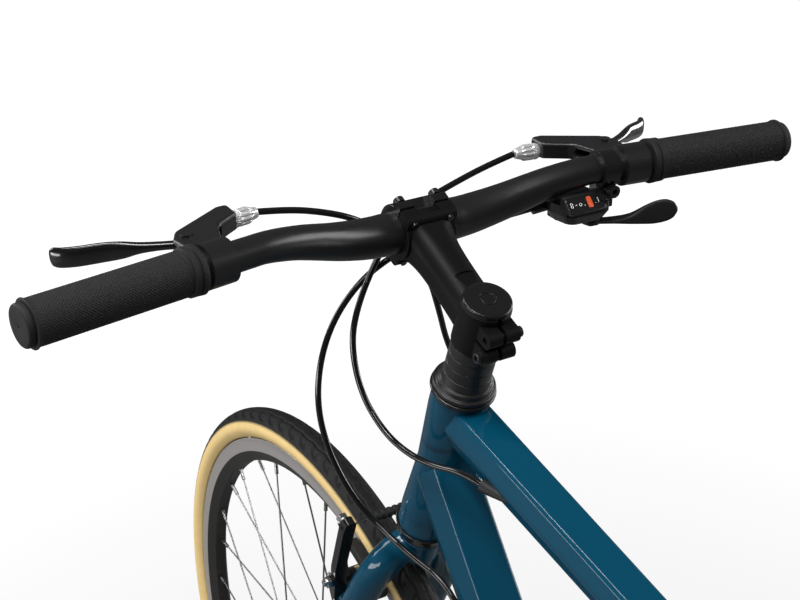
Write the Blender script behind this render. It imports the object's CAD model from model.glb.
"""The looks of a flat-bar hybrid bicycle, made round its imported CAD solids."""

import math

import bmesh
import bpy
import numpy as np
from mathutils import Euler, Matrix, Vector


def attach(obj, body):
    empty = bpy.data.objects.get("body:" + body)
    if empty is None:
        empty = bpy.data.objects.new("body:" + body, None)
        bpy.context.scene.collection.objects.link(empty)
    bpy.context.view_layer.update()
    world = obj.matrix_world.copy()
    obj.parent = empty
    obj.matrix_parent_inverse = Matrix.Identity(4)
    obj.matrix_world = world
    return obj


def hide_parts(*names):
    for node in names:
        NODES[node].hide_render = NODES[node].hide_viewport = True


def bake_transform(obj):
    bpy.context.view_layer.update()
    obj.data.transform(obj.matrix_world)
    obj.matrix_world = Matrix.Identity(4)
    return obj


bl_info = {
    "name": "Hybrid bicycle looks",
    "version": (1, 0, 0),
    "blender": (4, 5, 0),
    "location": "View3D > Sidebar > Bicycle",
    "description": "Adds tyres, grips, saddle, cables and finishes to the bicycle's solids",
    "category": "Object",
}

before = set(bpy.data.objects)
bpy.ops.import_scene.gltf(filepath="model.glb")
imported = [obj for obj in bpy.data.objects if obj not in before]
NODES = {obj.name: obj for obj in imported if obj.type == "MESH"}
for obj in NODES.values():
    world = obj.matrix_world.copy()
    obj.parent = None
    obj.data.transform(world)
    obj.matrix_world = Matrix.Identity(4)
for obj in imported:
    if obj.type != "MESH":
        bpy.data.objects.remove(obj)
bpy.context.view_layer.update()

# Places in the shared frame, in metres; the bar's end, both pivots and the window are measured from the
# bar's middle
FRONT_AXLE = (0.528, 0.0, 0.346)
REAR_AXLE = (-0.528, 0.0, 0.346)
SADDLE_CLAMP = (-0.28949, 0.0, 0.91672)
BAR_CENTRE = np.array((0.36279, 0.0, 0.98083))
BAR_END = (-0.04978, 0.3075, 0.0248)
GRIP_AXIS = (-0.15126, 0.98849, 0.0)
THUMB_PIVOT = (-0.024, -0.143, -0.018)
LEVER_PIVOT = (0.0089, 0.1784, 0.0248)
WINDOW_MIDDLE = (-0.0355, -0.12775, 0.0040)
ADJUSTER_SEAT = (0.39969, 0.1322, 1.00263)
# Directions: up and forward, an adjuster's axis and the start of its rings, and the window's three axes
UP, FORWARD = (0, 0, 1), (1, 0, 0)
ADJUSTER_AXIS, ADJUSTER_FLAT = (0.08957, -0.99519, 0.03981), (0.99598, 0.08950, -0.00358)
WINDOW_AXES = np.array([(0.0, -1.0, 0.0), (0.6757, 0.0, 0.7372), (-0.7372, 0.0, 0.6757)])

# Routes of the outer cables, in metres
FRONT_BRAKE_ROUTE = [
    (0.4016, 0.1114, 1.0034), (0.4014, 0.0880, 1.0001), (0.3983, 0.0620, 0.9938),
    (0.3958, 0.0360, 0.9838), (0.3928, 0.0110, 0.9668), (0.3868, -0.0080, 0.9508),
    (0.3798, -0.0200, 0.9288), (0.3753, -0.0270, 0.8988), (0.3768, -0.0360, 0.8648),
    (0.3738, -0.0540, 0.8248), (0.3619, -0.0770, 0.7816), (0.3718, -0.0770, 0.7565),
]
REAR_BRAKE_ROUTE = [
    (0.4016, -0.1114, 1.0034), (0.4023, -0.0880, 0.9986), (0.4018, -0.0600, 0.9913),
    (0.4018, -0.0300, 0.9818), (0.4003, -0.0040, 0.9688), (0.3918, 0.0210, 0.9448),
    (0.3823, 0.0420, 0.9168), (0.3788, 0.0500, 0.8878), (0.3668, 0.0490, 0.8508),
    (0.3428, 0.0430, 0.8268), (0.3168, 0.0365, 0.8188), (0.2888, 0.0295, 0.8208),
    (0.2630, 0.0228, 0.8289), (0.2415, 0.0180, 0.8280),
]
GEAR_ROUTE = [
    (0.3608, -0.1020, 0.9738), (0.3648, -0.0820, 0.9708), (0.3808, -0.0560, 0.9618),
    (0.3898, -0.0280, 0.9558), (0.3938, 0.0020, 0.9468), (0.3953, 0.0340, 0.9298),
    (0.3958, 0.0610, 0.8958), (0.3918, 0.0750, 0.8498), (0.3828, 0.0740, 0.8058),
    (0.3648, 0.0600, 0.7578), (0.3388, 0.0440, 0.7338), (0.3088, 0.0360, 0.7258),
    (0.2737, 0.0266, 0.7207), (0.2572, 0.0240, 0.7007),
]
BRAKE_TAIL_ROUTE = [
    (-0.1902, 0.0155, 0.7661), (-0.2138, 0.0179, 0.7623), (-0.2382, 0.0375, 0.7681),
    (-0.2662, 0.0575, 0.7701), (-0.2764, 0.0770, 0.7315), (-0.2893, 0.0770, 0.7150),
]
GEAR_LOOP_ROUTE = [
    (-0.3977, -0.0640, 0.3144), (-0.4234, -0.0640, 0.3185), (-0.4530, -0.0720, 0.3233),
    (-0.4917, -0.0885, 0.3224), (-0.5320, -0.0985, 0.3280), (-0.5720, -0.0985, 0.3280),
    (-0.6040, -0.0965, 0.3220), (-0.6280, -0.0935, 0.3020), (-0.6340, -0.0905, 0.2740),
    (-0.6140, -0.0875, 0.2530), (-0.5838, -0.0855, 0.2643), (-0.5520, -0.0855, 0.3080),
]

# The tyre: its outer radius, the middle and radius of its section, the radius of its lining, and the angles
# of shoulder and bead
TYRE_RADIUS = 0.346
SECTION_CENTRE, SECTION_RADIUS, LINING_RADIUS = 0.3285, 0.0175, 0.0125
SHOULDER, BEAD = 0.92, math.radians(134.0)
# The tread: steps in one pitch; how far a hooked cut runs across, the share of this at which its curl stops,
# its width, lean and curl; where long and short cuts start and end; place, wave and width of the ring beside
# the middle; and slant, width, end and depth of the fine cuts inside it
STEPS_IN_PITCH = 17
HOOK_REACH, HOOK_LIMIT, HOOK_WIDTH, HOOK_LEAN, HOOK_CURL = 0.0082, 1.2, 0.0010, 0.16, 0.34
LONG_START, SHORT_START, CUT_END = 0.0048, 0.0092, 0.0136
RING_PLACE, RING_WAVE, RING_WIDTH = 0.0044, 0.0006, 0.0009
SIPE_SLANT, SIPE_WIDTH, SIPE_END, SIPE_DEPTH = 60, 0.0007, 0.0030, 0.6
# Distances from the axle between which a rim's dark bed gives way to its brake track
TRACK_EDGE = (0.3026, 0.3032)

# Turned profiles: place along the axis and radius, in millimetres
PLUG_PROFILE = [
    (-3.2, 0), (-3.2, 0.8), (-4.4, 1.0), (-4.5, 1.3), (-4.5, 12.6), (-4.3, 13.6), (-3.6, 14.3), (-2.6, 14.6),
    (-0.2, 14.7), (0.1, 14.4), (0.2, 13.9), (0.7, 13.9), (0.8, 15.6), (0.95, 16.4), (1.4, 16.9), (2.1, 16.9),
    (2.5, 16.5), (2.7, 16.0), (6.4, 16.0),
]
COLLAR_PROFILE = [
    (109.8, 16.0), (110.6, 16.1), (111.2, 17.1), (114.8, 17.2), (115.3, 16.2), (116.7, 16.2), (117.2, 17.4),
    (120.4, 17.6), (121.0, 17.2), (121.0, 11.1), (121.0, 0),
]
ADJUSTER_PROFILE = [
    (-0.6, 0), (-0.6, 6.0), (0.2, 6.2), (0.5, 6.6), (3.0, 6.6), (3.3, 6.2), (3.4, 5.0), (3.9, 5.0),
    (4.0, 6.0), (4.4, 6.5), (5.2, 6.6), (6, 6.6), (8, 6.6), (10, 6.6), (12, 6.6), (12.8, 6.4),
    (13.5, 5.9), (14.2, 5.4), (16.5, 4.7), (18.8, 4.2), (19.6, 3.9), (20, 3.4), (20, 0),
]
# Stations of the saddle: place along it, half width and height, in millimetres
SADDLE_STATIONS = [
    (-119, 40, 22), (-108, 62, 28), (-88, 78, 32), (-60, 82, 33), (-25, 68, 31), (15, 44, 28), (60, 25, 27),
    (100, 20, 27), (130, 18, 26), (141, 14, 23), (146, 6, 17),
]
# Stations of swept pieces: the point from its pivot, half width and half thickness, in millimetres
LEVER_BLADE = [
    (0, 0, 0, 0, 0), (0.4, 1.0, 0, 2.4, 2.6), (2.4, 6.2, 0, 2.9, 3.0), (7.6, 16.9, -0.5, 3.0, 3.2),
    (14.0, 28.5, -1.7, 4.0, 3.3), (20.4, 38.6, -3.4, 6.2, 3.2), (28.0, 49.4, -5.6, 7.2, 3.0),
    (37.1, 64.6, -8.6, 7.5, 3.0), (43.7, 73.6, -10.2, 7.5, 2.9), (48.2, 77.4, -10.8, 7.3, 2.7),
    (51.0, 78.6, -11.0, 6.2, 2.3), (52.2, 79.0, -11.1, 4.0, 1.6), (52.6, 79.1, -11.1, 0, 0),
]
LEVER_LUG = [
    (-3, 3, 0, 0, 0), (-2.6, 2.6, 0, 2.9, 5.4), (0, 0, 0, 2.9, 6.0), (8.7, -8.0, 0, 2.9, 5.2),
    (14.6, -13.4, 0, 2.9, 4.0), (16.6, -15.2, 0, 2.4, 2.8), (17.0, -15.6, 0, 0, 0),
]
THUMB_BLADE = [
    (0, 2, 0, 0, 0), (-0.4, 1.2, 0, 1.2, 3.2), (-3, -3, 0, 1.6, 4.2), (-8, -14, 0, 1.7, 5.2),
    (-15, -27, 1, 4.0, 4.2), (-22, -39, 4.5, 8.2, 2.6), (-27, -46.5, 7.4, 9.4, 2.2),
    (-30.5, -51.5, 9.4, 8.6, 2.0), (-32.6, -54.4, 10.7, 6.4, 1.9), (-33.9, -56.3, 11.5, 3.6, 1.5),
    (-34.4, -57.0, 11.9, 0, 0),
]
# The wedge under the gear window: its section in X and Z, and its rings along Y with their share of it
BLOCK_SECTION = [(-41.0, -2.0), (-30.0, 10.0), (-26.5, 10.0), (-27.0, -2.0), (-41.0, -2.0)]
BLOCK_RINGS = [(-145.5, 0), (-145.5, 0.93), (-144.7, 1), (-110.8, 1), (-110, 0.93), (-110, 0)]
# Figures of the gear window: text, place across and up the slope, and size, in millimetres
GEAR_FIGURES = [
    ("8", -13.0, 0, 6.2), ("1", 11.8, 0, 6.2), ("-", -8.8, 0.4, 6.6), ("o", -5.0, 0.2, 5.6),
    (".", -1.2, 0, 6.2), (".", 8.8, 0, 6.2),
]

# Heights between which the chain bends over the guide pulley, and the stretch of its lower run that bends
WRAP_TOP, WRAP_FOOT = 0.300, 0.245
TAIL_START, TAIL_END = -0.38, -0.50

# CAD nodes grouped by finish
PAINTED = ["head_tube", "top_tube", "down_tube", "seat_tube", "bottom_bracket_shell", "rear_stays",
           "fork_blades", "steerer", "dropouts"]
SATIN_BLACK = ["stem_bolts", "handlebar", "seatpost", "crank_arm_right", "crank_arm_left", "seat_clamp",
               "headset_spacers", "brake_perches"]
GLOSS_BLACK = ["stem_faceplate", "top_cap", "headset_cups", "left_brake_lever", "right_brake_lever",
               "shifter_pod", "release_lever", "front_brake_cable", "rear_brake_cable", "shift_cable",
               "rear_cables"]
MATT_PLASTIC = ["thumb_lever", "cable_guides", "left_pedal", "right_pedal", "guide_pulley",
                "tension_pulley", "derailleur_body"]
STEEL = ["front_axle", "rear_axle", "cassette", "bottom_bracket", "crank_spindle", "derailleur_cage",
         "saddle_rails"]
# Brake arms and the bodies that they ride on
BRAKE_ARMS = {
    "front_brake_arm_left": "front_left_arm", "front_brake_arm_right": "front_right_arm",
    "rear_brake_arm_right": "rear_right_arm", "rear_brake_arm_left": "rear_left_arm",
}

# Finishes of fixed colours: two tones, the grain's scale, the range of roughness, and what else is set
RUBBER = ((0.011,) * 3, (0.017,) * 3, 1100.0, (0.55, 0.70), {"bump": 0.2, "specular": 0.25})
FINISHES = {
    "stem_black": ((0.0035,) * 3, (0.006,) * 3, 2600.0, (0.40, 0.50), {"bump": 0.08, "specular": 0.12}),
    "lever_black": ((0.004,) * 3, (0.006,) * 3, 500.0, (0.16, 0.22), {"coat": 0.6, "specular": 0.4}),
    "ring_black": ((0.03,) * 3, (0.05,) * 3, 800.0, (0.28, 0.40), {"metallic": 0.6}),
    "housing_black": ((0.005,) * 3, (0.008,) * 3, 300.0, (0.12, 0.18), {"coat": 0.5, "specular": 0.3}),
    "matt_plastic": ((0.010, 0.010, 0.011), (0.016, 0.016, 0.017), 1500.0, (0.45, 0.58),
                     {"bump": 0.15, "specular": 0.3}),
    "silver_alloy": ((0.52, 0.52, 0.51), (0.40,) * 3, 700.0, (0.22, 0.36), {"metallic": 1.0}),
    "polished_alloy": ((0.86, 0.86, 0.85), (0.76, 0.76, 0.75), 700.0, (0.26, 0.38), {"metallic": 0.6}),
    "spoke_steel": ((0.36,) * 3, (0.24,) * 3, 900.0, (0.22, 0.36), {"metallic": 1.0}),
    "bright_steel": ((0.42,) * 3, (0.30, 0.30, 0.29), 900.0, (0.20, 0.34), {"metallic": 1.0}),
    "dark_steel": ((0.30, 0.29, 0.28), (0.19, 0.18, 0.17), 500.0, (0.30, 0.46), {"metallic": 1.0}),
    "figure_white": ((0.80,) * 3, (0.72,) * 3, 500.0, (0.40, 0.48), {}),
    "pointer_orange": ((0.80, 0.10, 0.015), (0.72, 0.09, 0.0135), 500.0, (0.40, 0.48), {}),
    "soft_rubber": RUBBER,
    "grip_rubber": RUBBER,
    "boot_rubber": RUBBER,
}


class BicycleColours(bpy.types.PropertyGroup):
    """Base colours of the finishes."""

    paint: bpy.props.FloatVectorProperty(
        name="Paint", description="Base colour of frame and fork", subtype="COLOR",
        default=(0.0006, 0.048, 0.090), min=0, max=1)
    sidewall: bpy.props.FloatVectorProperty(
        name="Sidewall", description="Tan band of the tyres", subtype="COLOR",
        default=(0.93, 0.68, 0.30), min=0, max=1)
    rubber: bpy.props.FloatVectorProperty(
        name="Rubber", description="Tread rubber", subtype="COLOR",
        default=(0.0054, 0.0054, 0.0054), min=0, max=1)
    rim: bpy.props.FloatVectorProperty(
        name="Rim bed", description="Anodised bed of the rims", subtype="COLOR",
        default=(0.016, 0.015, 0.014), min=0, max=1)
    black: bpy.props.FloatVectorProperty(
        name="Black parts", description="Anodised and painted black parts", subtype="COLOR",
        default=(0.0075, 0.0075, 0.008), min=0, max=1)


class BicycleSizes(bpy.types.PropertyGroup):
    """Sizes of the added pieces."""

    tread_depth: bpy.props.FloatProperty(
        name="Tread depth", description="Depth of the grooves in the tyre",
        default=0.0016, unit="LENGTH", min=0, max=0.003)
    tread_pitches: bpy.props.IntProperty(
        name="Tread pitches", description="Repeats of the pattern round one tyre",
        default=90, min=40, max=140)
    knurl_depth: bpy.props.FloatProperty(
        name="Knurl depth", description="Depth of the diamonds on the grips",
        default=0.00045, unit="LENGTH", min=0, max=0.001)
    housing_radius: bpy.props.FloatProperty(
        name="Housing radius", description="Radius of the outer cables",
        default=0.0025, unit="LENGTH", min=0.001, max=0.004)
    saddle_crown: bpy.props.FloatProperty(
        name="Saddle crown", description="Extra height of the padding along the middle of each side",
        default=0.005, unit="LENGTH", min=0, max=0.012)


def fill(tree, node, inputs):
    """Set values on a node's inputs; a socket given for one is linked to it."""
    for key, value in inputs.items():
        if isinstance(value, bpy.types.NodeSocket):
            tree.links.new(value, node.inputs[key])
        else:
            node.inputs[key].default_value = value


def add(tree, kind, inputs=None, **settings):
    """Shader node with its settings and inputs."""
    node = tree.nodes.new("ShaderNode" + kind)
    for key, value in settings.items():
        setattr(node, key, value)
    fill(tree, node, inputs or {})
    return node


def mixed(tree, share, first, second):
    """Colour that goes from the first to the second with the share."""
    return add(tree, "Mix", {"Factor": share, "A": first, "B": second}, data_type="RGBA").outputs["Result"]


def ranged(tree, value, start, end, **settings):
    """Value carried from one range to another, and held at its ends."""
    return add(tree, "MapRange", {
        "Value": value, "From Min": start[0], "From Max": start[1], "To Min": end[0], "To Max": end[1]},
        **settings).outputs["Result"]


def node_group(name, inputs, outputs):
    """Empty shader group with its sockets, its inputs to link from and its end node."""
    group = bpy.data.node_groups.new(name, "ShaderNodeTree")
    for label, kind, value in inputs:
        socket = group.interface.new_socket(name=label, in_out="INPUT", socket_type="NodeSocket" + kind)
        socket.default_value = value
    for label, kind in outputs:
        group.interface.new_socket(name=label, in_out="OUTPUT", socket_type="NodeSocket" + kind)
    return group, group.nodes.new("NodeGroupInput").outputs, group.nodes.new("NodeGroupOutput")


def grain_group():
    """Fine noise over the object's own coordinates: two tones, a roughness and a height."""
    group, start, end = node_group(
        "surface_grain",
        [("Tone", "Color", (0.5, 0.5, 0.5, 1)), ("Second tone", "Color", (0.4, 0.4, 0.4, 1)),
         ("Scale", "Float", 200.0), ("Rough low", "Float", 0.3), ("Rough high", "Float", 0.5)],
        [("Color", "Color"), ("Roughness", "Float"), ("Height", "Float")])
    place = add(group, "TexCoord").outputs["Object"]
    noise = add(group, "TexNoise", {
        "Vector": place, "Scale": start["Scale"], "Detail": 5.0, "Roughness": 0.6}).outputs["Fac"]
    rough = ranged(group, noise, (0.3, 0.7), (start["Rough low"], start["Rough high"]))
    tone = mixed(group, noise, start["Tone"], start["Second tone"])
    fill(group, end, {"Color": tone, "Roughness": rough, "Height": noise})
    return group


def streak_group():
    """Turning marks round a wheel's axle: noise read by the distance from the axle, and that distance."""
    group, start, end = node_group(
        "turned_streaks", [("Axle", "Vector", (0, 0, 0)), ("Scale", "Float", 900.0)],
        [("Streak", "Float"), ("Radius", "Float")])
    place = add(group, "TexCoord").outputs["Object"]
    away = add(group, "VectorMath", {0: place, 1: start["Axle"]}, operation="SUBTRACT").outputs["Vector"]
    flat = add(group, "VectorMath", {0: away, 1: (1, 0, 1)}, operation="MULTIPLY").outputs["Vector"]
    length = add(group, "VectorMath", {0: flat}, operation="LENGTH").outputs["Value"]
    noise = add(group, "TexNoise", {"W": length, "Scale": start["Scale"]}, noise_dimensions="1D")
    fill(group, end, {"Streak": noise.outputs["Fac"], "Radius": length})
    return group


def pebble_group():
    """Leather pebbles: cells of the object's own coordinates, as a height and a slight shade."""
    group, start, end = node_group(
        "leather_pebbles", [("Scale", "Float", 900.0)], [("Height", "Float"), ("Shade", "Float")])
    place = add(group, "TexCoord").outputs["Object"]
    cells = add(group, "TexVoronoi", {"Scale": start["Scale"], "Vector": place}, feature="SMOOTH_F1")
    height = cells.outputs["Distance"]
    fill(group, end, {"Height": height, "Shade": ranged(group, height, (0, 1), (0.7, 1.1))})
    return group


GROUPS = {"surface_grain": grain_group, "turned_streaks": streak_group, "leather_pebbles": pebble_group}


def shared(tree, name, inputs):
    """Outputs of a shared group placed in a tree; the group is made at its first use."""
    group = bpy.data.node_groups.get(name) or GROUPS[name]()
    return add(tree, "Group", inputs, node_tree=group).outputs


def grain(tree, tone, second, scale=200.0, rough=(0.3, 0.5)):
    """Outputs of the grain for two tones; rough is the range of roughness."""
    return shared(tree, "surface_grain", {
        "Tone": (*tone, 1), "Second tone": (*second, 1), "Scale": scale,
        "Rough low": rough[0], "Rough high": rough[1]})


def new_material(name):
    """Material with its tree and its Principled node."""
    material = bpy.data.materials.new("look_" + name)
    material.use_nodes = True
    return material, material.node_tree, material.node_tree.nodes["Principled BSDF"]


def add_bump(tree, bsdf, height, strength, distance):
    """Bump from a height, put on the Principled node."""
    bump = add(tree, "Bump", {"Strength": strength, "Distance": distance, "Height": height})
    fill(tree, bsdf, {"Normal": bump.outputs["Normal"]})


def grained(name, tone, second, scale, rough, metallic=0.0, coat=0.0, bump=0.0, specular=0.5,
            coat_rough=0.04):
    """Finish of two close tones with a fine grain, made at its first use."""
    found = bpy.data.materials.get("look_" + name)
    if found:
        return found
    material, tree, bsdf = new_material(name)
    surface = grain(tree, tone, second, scale, rough)
    fill(tree, bsdf, {
        "Base Color": surface["Color"], "Roughness": surface["Roughness"], "Metallic": metallic,
        "Specular IOR Level": specular, "Coat Weight": coat, "Coat Roughness": coat_rough})
    if bump:
        add_bump(tree, bsdf, surface["Height"], bump, 0.0003)
    return material


def finish(name):
    """Finish of the table."""
    *tones, rest = FINISHES[name]
    return grained(name, *tones, **rest)


def scaled(colour, factor):
    """Colour made darker or lighter."""
    return tuple(min(1.0, c * factor) for c in colour)


def paint_finish():
    """Glossy blue-green paint under a clear coat."""
    colour = bpy.context.scene.bicycle_colours.paint
    return grained("frame_paint", colour, scaled(colour, 1.25), 900.0, (0.30, 0.40), coat=0.55,
                   specular=0.06, coat_rough=0.03)


def satin_black():
    """Anodised black with a soft sheen."""
    black = bpy.context.scene.bicycle_colours.black
    return grained("satin_black", black, scaled(black, 1.7), 2200.0, (0.28, 0.36), bump=0.10)


def gloss_black():
    """Painted or moulded glossy black."""
    black = bpy.context.scene.bicycle_colours.black
    return grained("gloss_black", black, scaled(black, 1.3), 600.0, (0.18, 0.26), coat=0.25, specular=0.30)


def tyre_finish():
    """Black tread and tan sidewall with dark cuts, told apart by the piece's own attributes."""
    colours = bpy.context.scene.bicycle_colours
    material, tree, bsdf = new_material("tyre_rubber")
    band = add(tree, "Attribute", attribute_name="sidewall").outputs["Fac"]
    cut = add(tree, "Attribute", attribute_name="cut").outputs["Fac"]
    tread = grain(tree, colours.rubber, scaled(colours.rubber, 1.8), 420.0, (0.55, 0.72))
    wall = grain(tree, colours.sidewall, scaled(colours.sidewall, 0.84), 60.0)
    rubber = mixed(tree, band, tread["Color"], wall["Color"])
    fill(tree, bsdf, {
        "Base Color": mixed(tree, cut, rubber, (0.002, 0.002, 0.002, 1)),
        "Roughness": tread["Roughness"], "Specular IOR Level": 0.25})
    add_bump(tree, bsdf, tread["Height"], 0.15, 0.0004)
    return material


def rim_finish(name, axle):
    """Machined brake track over a dark bed, told apart by the distance from the axle."""
    material, tree, bsdf = new_material(name)
    turned = shared(tree, "turned_streaks", {"Axle": axle})
    track = ranged(tree, turned["Radius"], TRACK_EDGE, (0, 1))
    tone = mixed(tree, turned["Streak"], (0.64, 0.61, 0.60, 1), (0.46, 0.44, 0.43, 1))
    metal = ranged(tree, track, (0, 1), (0.1, 0.75))
    bed = (*bpy.context.scene.bicycle_colours.rim, 1)
    fill(tree, bsdf, {"Base Color": mixed(tree, track, bed, tone), "Metallic": metal, "Roughness": 0.42})
    return material


def leather_finish():
    """Pebbled black cover of the saddle."""
    material, tree, bsdf = new_material("saddle_cover")
    pebbles = shared(tree, "leather_pebbles", {})
    tone = mixed(tree, pebbles["Shade"], (0.010, 0.010, 0.010, 1), (0.026, 0.025, 0.025, 1))
    fill(tree, bsdf, {"Base Color": tone, "Roughness": 0.5})
    add_bump(tree, bsdf, pebbles["Height"], 0.25, 0.0004)
    return material


def arm_finish():
    """Glossy arm with its shoe, told apart by the distance from the middle plane: rubber near the rim, plated
    stud and washers, the black arm, and the plated nut outside it. The ramp reads that distance times ten."""
    material, tree, bsdf = new_material("brake_arm")
    place = add(tree, "TexCoord").outputs["Object"]
    axes = add(tree, "SeparateXYZ", {"Vector": place}).outputs
    away = add(tree, "Math", {0: axes["Y"]}, operation="ABSOLUTE").outputs["Value"]
    reach = add(tree, "Math", {0: away, 1: 10.0}, operation="MULTIPLY").outputs["Value"]
    zones = add(tree, "ValToRGB", {"Fac": reach})
    zones.color_ramp.interpolation = "CONSTANT"
    for at, tone in [(0.262, 1.0), (0.309, 0.0), (0.557, 1.0)]:
        zones.color_ramp.elements.new(at).color = (tone, tone, tone, 1)
    zones.color_ramp.elements[-1].color = (1, 1, 1, 1)
    plated = zones.outputs["Color"]
    black = grain(tree, (0.009,) * 3, (0.014,) * 3)["Color"]
    rough = ranged(tree, away, (0.0262, 0.0263), (0.6, 0.22))
    fill(tree, bsdf, {
        "Base Color": mixed(tree, plated, black, (0.62, 0.62, 0.61, 1)), "Metallic": plated,
        "Roughness": rough, "Specular IOR Level": 0.35})
    return material


def dress(node, material):
    """CAD node with one finish."""
    mesh = NODES[node].data
    mesh.materials.clear()
    mesh.materials.append(material)


def millimetres(rows):
    """Array of a list in millimetres, in metres."""
    return np.array(rows, float) / 1000


def close_shell(mesh):
    """Join the points that meet in one place, and turn the faces outwards."""
    shell = bmesh.new()
    shell.from_mesh(mesh)
    bmesh.ops.remove_doubles(shell, verts=shell.verts, dist=1e-7)
    bmesh.ops.recalc_face_normals(shell, faces=shell.faces)
    shell.to_mesh(mesh)
    shell.free()


def grid_mesh(name, points, wrap_rows, wrap_columns, poles=False, crease=None):
    """Quad mesh on an array of points, rows by columns by three, closed where told. Poles joins the points of
    rows that meet in one place; edges over the crease angle, in degrees, stay sharp."""
    rows, columns = points.shape[:2]
    row = np.arange(rows if wrap_rows else rows - 1)
    column = np.arange(columns if wrap_columns else columns - 1)
    i, j = np.meshgrid(row, column, indexing="ij")
    down, right = (i + 1) % rows, (j + 1) % columns
    corners = [i * columns + j, down * columns + j, down * columns + right, i * columns + right]
    mesh = bpy.data.meshes.new(name)
    mesh.from_pydata(points.reshape(-1, 3), [], np.stack(corners, -1).reshape(-1, 4))
    if poles:
        close_shell(mesh)
    mesh.shade_smooth()
    if crease:
        mesh.set_sharp_from_angle(angle=math.radians(crease))
    return mesh


def smooth_rows(rows, count):
    """Cubic curve through the rows of an array: at each row it leans along its neighbours' chord."""
    padded = np.concatenate([2 * rows[:1] - rows[1:2], rows, 2 * rows[-1:] - rows[-2:-1]])
    at = np.linspace(0, len(rows) - 1, count)
    first = np.minimum(at.astype(int), len(rows) - 2)
    t = (at - first)[:, None]
    a, b, c, d = (padded[first + k] for k in range(4))
    square, cube = 2 * a - 5 * b + 4 * c - d, 3 * b - a - 3 * c + d
    return 0.5 * (2 * b + (c - a) * t + square * t ** 2 + cube * t ** 3)


def power(value, exponent):
    """Signed power, for superellipses."""
    return np.sign(value) * np.abs(value) ** exponent


def whole_turn(count):
    """Angles of equal steps round a circle."""
    return 2 * np.pi * np.arange(count) / count


def swept_points(stations, pivot, count, squareness, around=48):
    """Superellipse sections carried along a smooth curve. A station gives its point from the pivot, its half
    width upwards and its half thickness to the side."""
    line = smooth_rows(millimetres(stations) + np.array((*pivot, 0, 0)), count)
    ahead = np.gradient(line[:, :3], axis=0)
    beside = np.cross(ahead, UP)
    beside /= np.linalg.norm(beside, axis=1, keepdims=True)
    upward = np.cross(beside, ahead)
    upward /= np.linalg.norm(upward, axis=1, keepdims=True)
    turn = whole_turn(around)
    wide = np.clip(line[:, 3:4], 0, None) * power(np.cos(turn), 2 / squareness)
    thick = np.clip(line[:, 4:5], 0, None) * power(np.sin(turn), 2 / squareness)
    return line[:, None, :3] + wide[..., None] * upward[:, None] + thick[..., None] * beside[:, None]


def turned_points(place, radius, start, axis, flat):
    """Points of a turned shape: at each place along the axis from start, a ring of the given radius. Radius
    has one row a place and one column a step round the axis, which begins at the flat direction."""
    turn = whole_turn(radius.shape[1])
    ring = np.cos(turn)[:, None] * np.asarray(flat) + np.sin(turn)[:, None] * np.cross(axis, flat)
    return np.asarray(start) + place[:, None, None] * np.asarray(axis) + radius[..., None] * ring


def disc_points(pivot, half, ease, radius=8.0, around=48):
    """Upright disc with eased rims, from its half height, the ease and the radius in millimetres."""
    high = millimetres([-half, -half, ease - half, half - ease, half, half])
    wide = millimetres([0, radius - ease, radius, radius, radius - ease, 0])
    return turned_points(high, np.tile(wide[:, None], (1, around)), pivot, UP, FORWARD)


def add_object(name, mesh, material, body):
    """Piece at the origin that rides on a body and takes a slot of the record."""
    thing = bpy.data.objects.new(name, mesh)
    bpy.context.scene.collection.objects.link(thing)
    mesh.materials.append(material)
    if body:
        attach(thing, body)
    return thing


def round_piece(name, points, material, body, crease=None):
    """Piece whose rows of points are closed rings between two poles."""
    return add_object(name, grid_mesh(name, points, False, True, True, crease), material, body)


def curve_mesh(curve):
    """Mesh of a curve or a text."""
    thing = bpy.data.objects.new(curve.name, curve)
    bpy.context.scene.collection.objects.link(thing)
    bpy.context.view_layer.update()
    shown = thing.evaluated_get(bpy.context.evaluated_depsgraph_get())
    mesh = bpy.data.meshes.new_from_object(shown)
    bpy.data.objects.remove(thing)
    return mesh


def triangles_of(mesh):
    """Corners and triangles of a mesh, as arrays."""
    points = np.empty(len(mesh.vertices) * 3)
    mesh.vertices.foreach_get("co", points)
    mesh.calc_loop_triangles()
    faces = np.empty(len(mesh.loop_triangles) * 3, int)
    mesh.loop_triangles.foreach_get("vertices", faces)
    return points.reshape(-1, 3), faces.reshape(-1, 3)


def loose_parts(node):
    """Separate surfaces of a CAD node, longest first. Corners within a micrometre are joined, and each corner
    takes the lowest number found in its triangles until none changes."""
    points, faces = triangles_of(NODES[node].data)
    corners, number = np.unique(np.round(points, 6), axis=0, return_inverse=True)
    faces = number.reshape(-1)[faces]
    label = np.arange(len(corners))
    while True:
        lower = label.copy()
        np.minimum.at(lower, faces.ravel(), np.repeat(label[faces].min(1), 3))
        lower = lower[lower]
        if np.array_equal(lower, label):
            break
        label = lower
    parts = []
    for mark in np.unique(label):
        used, local = np.unique(faces[label[faces[:, 0]] == mark], return_inverse=True)
        parts.append((corners[used], local.reshape(-1, 3)))
    return sorted(parts, key=lambda part: -np.linalg.norm(np.ptp(part[0], axis=0)))


def part_piece(name, parts, material, body, crease=32):
    """Piece made of some loose parts, smooth but for edges over the crease angle."""
    points, faces, count = [], [], 0
    for corners, triangles in parts:
        points.append(corners)
        faces.append(triangles + count)
        count += len(corners)
    mesh = bpy.data.meshes.new(name)
    mesh.from_pydata(np.concatenate(points), [], np.concatenate(faces))
    mesh.shade_smooth()
    mesh.set_sharp_from_angle(angle=math.radians(crease))
    return add_object(name, mesh, material, body)


def groove(distance, width):
    """Depth across a groove, one in its middle and next to none beyond its width: the exponential of minus
    the fourth power of distance over width."""
    return np.exp(-((distance / width) ** 4))


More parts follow.
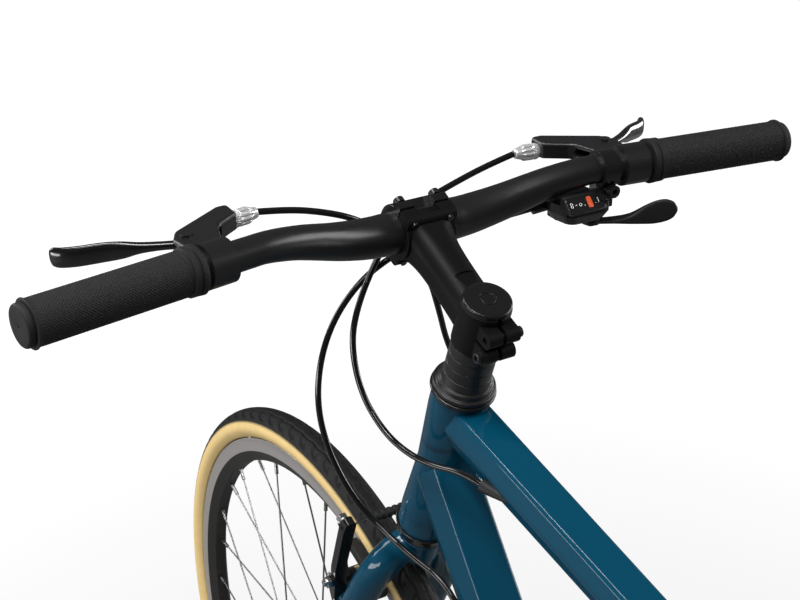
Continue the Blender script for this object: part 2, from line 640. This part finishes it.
class BICYCLE_OT_finishes(bpy.types.Operator):
    """Give every CAD node its finish."""

    bl_idname = "bicycle.finishes"
    bl_label = "Finish the solids"

    def execute(self, context):
        for names, material in [
            (PAINTED, paint_finish()), (SATIN_BLACK, satin_black()),
            (GLOSS_BLACK, gloss_black()), (BRAKE_ARMS, gloss_black()),
            (MATT_PLASTIC, finish("matt_plastic")), (STEEL, finish("bright_steel")),
            (["front_hub", "rear_hub"], finish("silver_alloy")),
            (["barrel_adjusters"], finish("polished_alloy")),
            (["front_spokes", "rear_spokes"], finish("spoke_steel")),
            (["chain"], finish("dark_steel")), (["stem"], finish("stem_black")),
            (["chainring"], finish("ring_black")),
            (["front_rim"], rim_finish("front_rim", FRONT_AXLE)),
            (["rear_rim"], rim_finish("rear_rim", REAR_AXLE)),
            (["front_tyre", "rear_tyre", "grips", "saddle"], finish("soft_rubber")),
        ]:
            for node in names:
                dress(node, material)
        return {"FINISHED"}


class BICYCLE_OT_tyres(bpy.types.Operator):
    """Add two tyres with cut tread and tan sidewalls."""

    bl_idname = "bicycle.tyres"
    bl_label = "Add the tyres"

    def hooks(self, turn, away, start, pitch):
        """Cuts that leave the middle, lean back and curl along the tyre: the distance from each curl,
        measured across it, makes the groove. The lean grows with the share of the reach, the curl with its
        fourth power, and the slope is the rate of both."""
        share = np.clip((away - start) / HOOK_REACH, 0, HOOK_LIMIT)
        lean = HOOK_LEAN * share + HOOK_CURL * share ** 4
        slope = (HOOK_LEAN + 4 * HOOK_CURL * share ** 3) / HOOK_REACH * pitch
        phase = (turn - lean + 0.5) % 1.0 - 0.5
        inside = ((away > start) & (away < CUT_END)).astype(float)
        return inside * groove(phase * pitch / np.sqrt(1 + slope ** 2), HOOK_WIDTH)

    def tread(self, around, across, pitches):
        """Depth of the cuts, from 0 to 1: a waved ring on each side, hooked cuts outside it, shorter ones
        between them and fine cuts in the middle; around is in pitches, across in metres."""
        away = np.abs(across)
        turn = around + np.where(across < 0, 0.5, 0.0)
        pitch = 2 * np.pi * TYRE_RADIUS / pitches
        ring = groove(away - RING_PLACE - RING_WAVE * np.sin(2 * np.pi * turn), RING_WIDTH)
        long_cuts = self.hooks(turn, away, LONG_START, pitch)
        short_cuts = self.hooks(turn + 0.5, away, SHORT_START, pitch)
        sipe_phase = (2 * turn + SIPE_SLANT * across + 0.5) % 1.0 - 0.5
        sipes = groove(sipe_phase * pitch / 2, SIPE_WIDTH) * (away < SIPE_END)
        return np.maximum.reduce([ring, long_cuts, short_cuts, SIPE_DEPTH * sipes])

    def tyre(self, name, node, body, axle, material):
        """Ring whose section is an arc from bead to bead, finer across the tread and cut by it, closed by a
        smaller arc inside."""
        sizes = bpy.context.scene.bicycle_sizes
        pitches = sizes.tread_pitches
        tread_rows, wall_rows, lining_rows = 40, 9, 6
        draw_in, draw_start, draw_span = 0.0020, 1.6, 0.75
        band_start, band_fade = 1.22, 0.06
        wall = np.linspace(SHOULDER, BEAD, wall_rows)[1:]
        angle = np.concatenate([-wall[::-1], np.linspace(-SHOULDER, SHOULDER, tread_rows), wall])
        bulge = SECTION_RADIUS - draw_in * np.clip((np.abs(angle) - draw_start) / draw_span, 0, 1) ** 1.5
        inner = np.linspace(BEAD, -BEAD, lining_rows)
        swing = np.concatenate([angle, inner])
        size = np.concatenate([bulge, np.full(len(inner), LINING_RADIUS)])
        outer = np.concatenate([np.ones(len(angle)), np.zeros(len(inner))])
        radius = SECTION_CENTRE + size * np.cos(swing)
        across = size * np.sin(swing)
        steps = pitches * STEPS_IN_PITCH
        turn = np.arange(steps) / steps
        around, side = np.meshgrid(turn * pitches, across, indexing="ij")
        cuts = self.tread(around, side, pitches) * outer * (radius > SECTION_CENTRE)
        depth = sizes.tread_depth * cuts
        reach = radius - depth * np.cos(swing)
        width = across - depth * np.sin(swing)
        spin = 2 * np.pi * turn[:, None]
        points = np.stack([reach * np.cos(spin), width, reach * np.sin(spin)], -1) + axle
        mesh = grid_mesh(name, points, True, True)
        band = np.clip((np.abs(swing) - band_start) / band_fade, 0, 1) * outer
        for label, values in (("sidewall", np.tile(band, steps)), ("cut", cuts.ravel())):
            attribute = mesh.attributes.new(label, "FLOAT", "POINT")
            attribute.data.foreach_set("value", values.astype(np.float32))
        tyre = add_object(name, mesh, material, body)
        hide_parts(node)

    def execute(self, context):
        material = tyre_finish()
        self.tyre("front_tyre_cover", "front_tyre", "front_wheel", FRONT_AXLE, material)
        self.tyre("rear_tyre_cover", "rear_tyre", "rear_wheel", REAR_AXLE, material)
        return {"FINISHED"}


class BICYCLE_OT_grips(bpy.types.Operator):
    """Add two rubber grips with a fine diamond pattern."""

    bl_idname = "bicycle.grips"
    bl_label = "Add the grips"

    def grip(self, name, side):
        """Turned sleeve between the profiles of its end plug and its collar, less diamonds that are the
        higher of two crossed waves."""
        depth = bpy.context.scene.bicycle_sizes.knurl_depth
        rings, around, diamonds, wave = 300, 288, 44, 0.0023
        knurl_start, knurl_end = 0.0045, 0.109
        sleeve = np.column_stack([np.linspace(0.0066, 0.1096, rings), np.full(rings, 0.016)])
        profile = np.concatenate([millimetres(PLUG_PROFILE), sleeve, millimetres(COLLAR_PROFILE)])
        place, size = profile.T
        where, spin = np.meshgrid(place, np.arange(around) / around, indexing="ij")
        first = np.sin(2 * np.pi * (diamonds * spin + where / wave))
        second = np.sin(2 * np.pi * (diamonds * spin - where / wave))
        inside = ((where > knurl_start) & (where < knurl_end)).astype(float)
        reach = size[:, None] - depth * (0.5 + 0.5 * np.maximum(first, second)) * inside
        inward = np.array((-GRIP_AXIS[0], -side * GRIP_AXIS[1], 0))
        flat = np.array((inward[1], -inward[0], 0))
        start = BAR_CENTRE + np.array(BAR_END) * (1, side, 1)
        points = turned_points(place, reach, start, inward, flat)
        grip = round_piece(name, points, finish("grip_rubber"), "steering", 40)
        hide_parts("grips")

    def execute(self, context):
        self.grip("left_grip", 1)
        self.grip("right_grip", -1)
        return {"FINISHED"}


class BICYCLE_OT_saddle(bpy.types.Operator):
    """Add the padded saddle cover."""

    bl_idname = "bicycle.saddle"
    bl_label = "Add the saddle"

    def execute(self, context):
        """Rings of a superellipse along the saddle, whose width and height follow a smoothed list of
        stations, with two pads raised beside a middle channel, a piping line at the edge and a hollowed
        underside."""
        crown = context.scene.bicycle_sizes.saddle_crown
        steps, columns, window = 120, 96, 9
        foot, channel_depth, piping_size, hollow = 0.027, 0.004, 0.0012, 0.006
        side_power, top_power, end_fade = 0.62, 0.72, 0.12
        pad_place, pad_spread, channel_spread, hollow_reach = 0.45, 0.30, 0.16, 0.85
        piping_drop, piping_spread = 0.05, 0.10
        station, half, height = millimetres(SADDLE_STATIONS).T
        along = np.linspace(0, 1, steps)
        x = station[0] + (station[-1] - station[0]) * (0.5 - 0.5 * np.cos(np.pi * along))
        mean = np.ones(window) / window
        width, rise = (
            np.convolve(np.pad(np.interp(x, station, values), window // 2, mode="edge"), mean, "valid")
            for values in (half, height))
        around = np.linspace(0, 2 * np.pi, columns, endpoint=False)
        side = power(np.cos(around), side_power)
        up = power(np.sin(around), top_power)
        top = np.clip(np.sin(around), 0, 1)
        under = np.clip(-np.sin(around), 0, 1)
        channel = np.exp(-((side / channel_spread) ** 2)) * top
        pads = np.exp(-(((np.abs(side) - pad_place) / pad_spread) ** 2)) * top
        mid = np.clip(np.minimum(along, 1 - along) / end_fade, 0, 1)[:, None]
        lift = mid * (crown * pads - channel_depth * channel)
        piping = piping_size * np.exp(-((np.sin(around) + piping_drop) / piping_spread) ** 2)
        y = width[:, None] * side + piping * np.sign(side)
        z = foot + 0.5 * rise[:, None] * (1 + up) + lift + hollow * under * (np.abs(side) < hollow_reach)
        points = np.stack([np.broadcast_to(x[:, None], y.shape), y, z], -1) + SADDLE_CLAMP
        tail, nose = (np.tile(points[end].mean(0), (1, columns, 1)) for end in (0, -1))
        points = np.concatenate([tail, points, nose])
        saddle = round_piece("saddle_pad", points, leather_finish(), "seat")
        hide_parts("saddle")
        return {"FINISHED"}


class BICYCLE_OT_cables(bpy.types.Operator):
    """Add the outer cables as smooth curves."""

    bl_idname = "bicycle.cables"
    bl_label = "Add the cables"

    def housing(self, name, route, body):
        """Round tube along a smooth curve led by the route's points."""
        curve = bpy.data.curves.new(name, "CURVE")
        curve.dimensions = "3D"
        curve.bevel_depth = bpy.context.scene.bicycle_sizes.housing_radius
        curve.bevel_resolution = 6
        curve.use_fill_caps = True
        line = curve.splines.new("NURBS")
        line.points.add(len(route) - 1)
        line.points.foreach_set("co", np.column_stack([route, np.ones(len(route))]).ravel())
        line.order_u = 3
        line.use_endpoint_u = True
        line.resolution_u = 14
        line.use_smooth = True
        mesh = curve_mesh(curve)
        mesh.name = name
        mesh.materials.clear()
        return add_object(name, mesh, finish("housing_black"), body)

    def ends(self, name, parts, noodle_body, wire_body, node):
        """Bent pipe, ribbed boot and bare wire of one brake, each on the arm that moves it."""
        noodle, boot, wire, ferrule = parts
        steel = finish("bright_steel")
        pipe = part_piece(name + "_noodle", [noodle, ferrule], steel, noodle_body)
        part_piece(name + "_boot", [boot], finish("boot_rubber"), noodle_body)
        part_piece(name + "_wire", [wire], steel, wire_body)
        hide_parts(node)

    def execute(self, context):
        front = self.housing("front_brake_housing", FRONT_BRAKE_ROUTE, None)
        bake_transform(front)
        rear = self.housing("rear_brake_housing", REAR_BRAKE_ROUTE, None)
        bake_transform(rear)
        gear = self.housing("gear_housing", GEAR_ROUTE, None)
        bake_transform(gear)
        tail = self.housing("rear_brake_tail", BRAKE_TAIL_ROUTE, None)
        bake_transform(tail)
        self.housing("gear_loop", GEAR_LOOP_ROUTE, "frame")
        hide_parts("rear_brake_cable")
        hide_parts("shift_cable")
        # The longest parts of these nodes are the outer cables, which the curves above stand for
        parts = loose_parts("front_brake_cable")[1:]
        self.ends("front", parts, "front_right_arm", "front_left_arm", "front_brake_cable")
        parts = loose_parts("rear_cables")[2:]
        self.ends("rear", parts, "rear_left_arm", "rear_right_arm", "rear_cables")
        return {"FINISHED"}


class BICYCLE_OT_brakes(bpy.types.Operator):
    """Split the brake arms and the chainring from their bolts, with their own finishes."""

    bl_idname = "bicycle.brakes"
    bl_label = "Finish the brakes"

    def execute(self, context):
        coated = arm_finish()
        silver = finish("silver_alloy")
        for node, body in BRAKE_ARMS.items():
            arm, *bolts = loose_parts(node)
            piece = part_piece(node + "_body", [arm], coated, body)
            part_piece(node + "_bolts", bolts, silver, body)
            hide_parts(node)
        ring, *bolts = loose_parts("chainring")
        plate = part_piece("chainring_plate", [ring], finish("ring_black"), "crankset")
        part_piece("chainring_bolts", bolts, silver, "crankset")
        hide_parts("chainring")
        return {"FINISHED"}


class BICYCLE_OT_controls(bpy.types.Operator):
    """Add the fluted cable adjusters, the brake levers and the thumb paddle."""

    bl_idname = "bicycle.controls"
    bl_label = "Add the controls"

    def adjuster(self, name, side):
        """Turned barrel behind a lock ring: its profile, less shallow teeth round the ring and ten flutes
        round the barrel."""
        columns, flute_count, tooth_count = 240, 10, 24
        flute_depth, flute_width, tooth_depth = 0.0011, 0.26, 0.0005
        ring_start, ring_end = 0.0004, 0.0031
        flute_fade = [0.0044, 0.0058, 0.0128, 0.0150]
        along, radius = millimetres(ADJUSTER_PROFILE).T
        turn = np.arange(columns) / columns
        ring = ((along > ring_start) & (along < ring_end))[:, None]
        barrel = np.interp(along, flute_fade, [0, 1, 1, 0])[:, None]
        flutes = groove((turn * flute_count % 1.0) - 0.5, flute_width)
        teeth = 0.5 + 0.5 * np.cos(2 * np.pi * tooth_count * turn)
        reach = radius[:, None] - flute_depth * barrel * flutes - tooth_depth * ring * teeth
        seat, axis, flat = np.array((ADJUSTER_SEAT, ADJUSTER_AXIS, ADJUSTER_FLAT)) * (1, side, 1)
        points = turned_points(along, reach, seat, axis, flat)
        piece = round_piece(name, points, finish("polished_alloy"), "steering", 50)
        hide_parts("barrel_adjusters")

    def lever(self, name, node, body, side):
        """Blade whose sections grow deep and thin under the fingers and close in a round tip, a lug that
        takes the cable and a disc on the pivot, mirrored across the middle for the right side."""
        black = finish("lever_black")
        pivot = BAR_CENTRE + LEVER_PIVOT
        shells = {
            "blade": swept_points(LEVER_BLADE, pivot, 120, 2.6),
            "lug": swept_points(LEVER_LUG, pivot, 40, 6.0),
            "disc": disc_points(pivot, 2.9, 0.4),
        }
        pieces = [
            round_piece(name + "_" + label, shell * (1, side, 1), black, body, 50)
            for label, shell in shells.items()]
        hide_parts(node)

    def execute(self, context):
        self.adjuster("left_adjuster", 1)
        self.adjuster("right_adjuster", -1)
        self.lever("left_lever", "left_brake_lever", "left_lever", 1)
        self.lever("right_lever", "right_brake_lever", "right_lever", -1)
        pivot = BAR_CENTRE + THUMB_PIVOT
        plastic = finish("matt_plastic")
        points = swept_points(THUMB_BLADE, pivot, 90, 3.2)
        blade = round_piece("thumb_blade", points, plastic, "thumb_paddle")
        round_piece("thumb_hub", disc_points(pivot, 1.6, 0.5), plastic, "thumb_paddle", 30)
        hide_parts("thumb_lever")
        return {"FINISHED"}


class BICYCLE_OT_window(bpy.types.Operator):
    """Add the gear window's block, pane, figures and pointer."""

    bl_idname = "bicycle.window"
    bl_label = "Add the gear window"

    columns = 64

    def place(self, across, up, out):
        """Points of the window's slope: across to the right, up the slope and out of it, from its middle."""
        return BAR_CENTRE + WINDOW_MIDDLE + np.stack(np.broadcast_arrays(across, up, out), -1) @ WINDOW_AXES

    def figure(self, text, across, up, size):
        """Corners and faces of one plain figure, just proud of the pane."""
        curve = bpy.data.curves.new("figure", "FONT")
        curve.body = text
        curve.size = size / 1000
        curve.align_x = "CENTER"
        curve.align_y = "CENTER"
        mesh = curve_mesh(curve)
        points, faces = triangles_of(mesh)
        bpy.data.meshes.remove(mesh)
        return self.place(points[:, 0] + across / 1000, points[:, 1] + up / 1000, 0.00050), faces

    def plate(self, across, up, half_width, half_height, out, squareness):
        """Rounded flat plate as rings of a superellipse that shrink to its middle, with a bevelled rim."""
        turn = whole_turn(self.columns)
        wide = half_width * power(np.cos(turn), 2 / squareness)
        high = half_height * power(np.sin(turn), 2 / squareness)
        foot = -0.0010
        rings = [(0, foot), (1, foot), (1, 0.6 * out), (0.985, out), (0.5, out), (0, out)]
        return np.stack([
            self.place(across + wide * share, up + high * share, level) for share, level in rings])

    def block(self):
        """Wedge under the pane: a four-cornered section in X and Z, its edges eased by a running mean,
        carried from right to left with drawn-in ends."""
        corners = millimetres(BLOCK_SECTION)
        at = np.linspace(0, 4, self.columns, endpoint=False)
        section = np.stack([np.interp(at, np.arange(5), corners[:, k]) for k in (0, 1)], -1)
        section = (np.roll(section, 1, 0) + section + np.roll(section, -1, 0)) / 3
        middle = section.mean(0)
        rings = []
        for y, share in BLOCK_RINGS:
            x, z = (middle + (section - middle) * share).T
            rings.append(np.stack([x, np.full(self.columns, y / 1000), z], -1) + BAR_CENTRE)
        return np.stack(rings)

    def execute(self, context):
        plastic, on = "black_plastic", "steering"
        round_piece("gear_block", self.block(), finish("matt_plastic"), on, 35)
        pane = self.plate(0.0, 0.0, 0.0168, 0.0068, 0.0004, 9.0)
        round_piece("gear_pane", pane, gloss_black(), on, 30)
        marks = [self.figure(*mark) for mark in GEAR_FIGURES]
        part_piece("gear_figures", marks, finish("figure_white"), on)
        pointer = self.plate(0.0038, 0.0002, 0.0022, 0.0046, 0.0006, 8.0)
        round_piece("gear_pointer", pointer, finish("pointer_orange"), on, 30)
        return {"FINISHED"}


class BICYCLE_OT_chain(bpy.types.Operator):
    """Split the chain at the derailleur, so that its tail follows the lower pulley as the cage swings."""

    bl_idname = "bicycle.chain"
    bl_label = "Hang the chain"

    def execute(self, context):
        steel = finish("dark_steel")
        groups = {"chain_run": [], "chain_bend": [], "chain_tail": []}
        for part in loose_parts("chain"):
            x, _, z = (part[0].min(0) + part[0].max(0)) / 2
            if z > WRAP_TOP or x > TAIL_START:
                groups["chain_run"].append(part)
            elif z > WRAP_FOOT:
                groups["chain_bend"].append(part)
            else:
                groups["chain_tail"].append(part)
        spans = {
            "chain_bend": ((0, 0, WRAP_TOP), (0, 0, WRAP_FOOT)),
            "chain_tail": ((TAIL_START, 0, 0), (TAIL_END, 0, 0)),
        }
        for name, parts in groups.items():
            if name in spans:
                piece = part_piece(name, parts, steel, None)
                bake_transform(piece)
            else:
                piece = part_piece(name, parts, steel, "frame")
            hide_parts("chain")
        return {"FINISHED"}


class BICYCLE_OT_stage(bpy.types.Operator):
    """Add the pale floor, the lights and the camera."""

    bl_idname = "bicycle.stage"
    bl_label = "Add the stage"

    def light(self, name, place, aim, size, watts):
        """Rectangular soft light turned towards a point."""
        lamp = bpy.data.lights.new(name, "AREA")
        lamp.shape = "RECTANGLE"
        lamp.size, lamp.size_y = size
        lamp.energy = watts
        thing = bpy.data.objects.new(name, lamp)
        thing.location = place
        thing.rotation_euler = (Vector(aim) - Vector(place)).to_track_quat("-Z", "Y").to_euler()
        bpy.context.scene.collection.objects.link(thing)

    def seen(self, tree):
        """One for rays from the camera, and a share of it for rays off metal or through glass."""
        share = 0.03
        path = add(tree, "LightPath").outputs
        bright = add(tree, "Math", {0: path["Is Glossy Ray"], 1: path["Is Transmission Ray"]},
                     operation="MAXIMUM").outputs["Value"]
        shiny = add(tree, "Math", {0: bright, 1: share}, operation="MULTIPLY").outputs["Value"]
        either = add(tree, "Math", {0: path["Is Camera Ray"], 1: shiny}, operation="MAXIMUM")
        return either.outputs["Value"]

    def world(self, scene):
        """Dim fill light that the camera sees as white."""
        world = bpy.data.worlds.new("studio")
        world.use_nodes = True
        scene.world = world
        tree = world.node_tree
        dim = tree.nodes["Background"]
        fill(tree, dim, {"Color": (0.92, 0.95, 1.0, 1), "Strength": 0.06})
        white = add(tree, "Background", {"Color": (1, 1, 1, 1), "Strength": 1.0})
        mix = add(tree, "MixShader", {
            "Fac": self.seen(tree), 1: dim.outputs["Background"], 2: white.outputs["Background"]})
        fill(tree, tree.nodes["World Output"], {"Surface": mix.outputs["Shader"]})

    def floor(self, scene):
        """Wide floor that takes the shadow, and glows to white for the camera with the distance."""
        half = 30.0
        points = np.array([[[-half, -half, 0], [half, -half, 0]], [[-half, half, 0], [half, half, 0]]])
        mesh = grid_mesh("floor", points, False, False)
        mesh.flip_normals()
        floor = bpy.data.objects.new("floor", mesh)
        scene.collection.objects.link(floor)
        material, tree, bsdf = new_material("floor_white")
        place = add(tree, "TexCoord").outputs["Object"]
        away = add(tree, "VectorMath", {0: place}, operation="LENGTH").outputs["Value"]
        rise = ranged(tree, away, (0.8, 2.6), (0.72, 1.0), interpolation_type="SMOOTHSTEP")
        glow = add(tree, "Math", {0: self.seen(tree), 1: rise}, operation="MULTIPLY")
        fill(tree, bsdf, {
            "Base Color": (0.18, 0.18, 0.18, 1), "Roughness": 0.9, "Specular IOR Level": 0.0,
            "Emission Color": (1, 1, 1, 1), "Emission Strength": glow.outputs["Value"]})
        mesh.materials.append(material)

    def camera(self, scene):
        """Camera at the picture's place and angle."""
        lens = bpy.data.cameras.new("camera")
        lens.sensor_width = 36.0
        lens.lens = 61.90
        camera = bpy.data.objects.new("camera", lens)
        camera.location = (-0.43656, 0.48207, 1.39691)
        yaw, pitch, roll = (math.radians(a) for a in (-30.261, -27.067, -0.301))
        aim = Euler((math.pi / 2 + pitch, 0, yaw - math.pi / 2)).to_matrix()
        camera.rotation_euler = (aim @ Euler((0, 0, roll)).to_matrix()).to_euler()
        scene.collection.objects.link(camera)
        scene.camera = camera

    def execute(self, context):
        scene = context.scene
        scene.view_settings.view_transform = "Standard"
        self.world(scene)
        self.floor(scene)
        self.light("key", (-0.2, 1.4, 3.4), (0.2, 0, 0.8), (0.8, 1.4), 22.0)
        self.light("strip", (0.1, 0.7, 2.6), (0.1, 0, 0.8), (2.8, 0.20), 40.0)
        self.light("front", (2.6, 1.6, 1.8), (0.3, 0, 0.7), (0.8, 1.8), 34.0)
        self.light("drive_side", (-0.5, -2.7, 2.3), (0.1, 0, 0.7), (2.2, 0.8), 38.0)
        self.light("wheel_side", (0.7, 2.5, 0.45), (0.4, 0, 0.4), (2.2, 0.4), 24.0)
        self.light("drive_low", (0.1, -2.6, 0.6), (0, 0, 0.45), (2.4, 0.5), 26.0)
        self.camera(scene)
        return {"FINISHED"}


STEPS = [BICYCLE_OT_finishes, BICYCLE_OT_tyres, BICYCLE_OT_grips, BICYCLE_OT_saddle, BICYCLE_OT_cables,
         BICYCLE_OT_brakes, BICYCLE_OT_controls, BICYCLE_OT_window, BICYCLE_OT_chain, BICYCLE_OT_stage]


class BICYCLE_PT_panel(bpy.types.Panel):
    """Buttons for every step, with the colours and sizes above them."""

    bl_idname = "BICYCLE_PT_panel"
    bl_label = "Bicycle"
    bl_space_type = "VIEW_3D"
    bl_region_type = "UI"
    bl_category = "Bicycle"

    def draw(self, context):
        for group in (context.scene.bicycle_colours, context.scene.bicycle_sizes):
            for name in group.__annotations__:
                self.layout.prop(group, name)
        for step in STEPS:
            self.layout.operator(step.bl_idname)


CLASSES = [BicycleColours, BicycleSizes, *STEPS, BICYCLE_PT_panel]


def register():
    for item in CLASSES:
        bpy.utils.register_class(item)
    bpy.types.Scene.bicycle_colours = bpy.props.PointerProperty(type=BicycleColours)
    bpy.types.Scene.bicycle_sizes = bpy.props.PointerProperty(type=BicycleSizes)


def unregister():
    del bpy.types.Scene.bicycle_sizes
    del bpy.types.Scene.bicycle_colours
    for item in reversed(CLASSES):
        bpy.utils.unregister_class(item)


def main():
    register()
    bpy.ops.bicycle.finishes()
    bpy.ops.bicycle.tyres()
    bpy.ops.bicycle.grips()
    bpy.ops.bicycle.saddle()
    bpy.ops.bicycle.cables()
    bpy.ops.bicycle.brakes()
    bpy.ops.bicycle.controls()
    bpy.ops.bicycle.window()
    bpy.ops.bicycle.chain()
    bpy.ops.bicycle.stage()


if __name__ == "__main__":
    main()
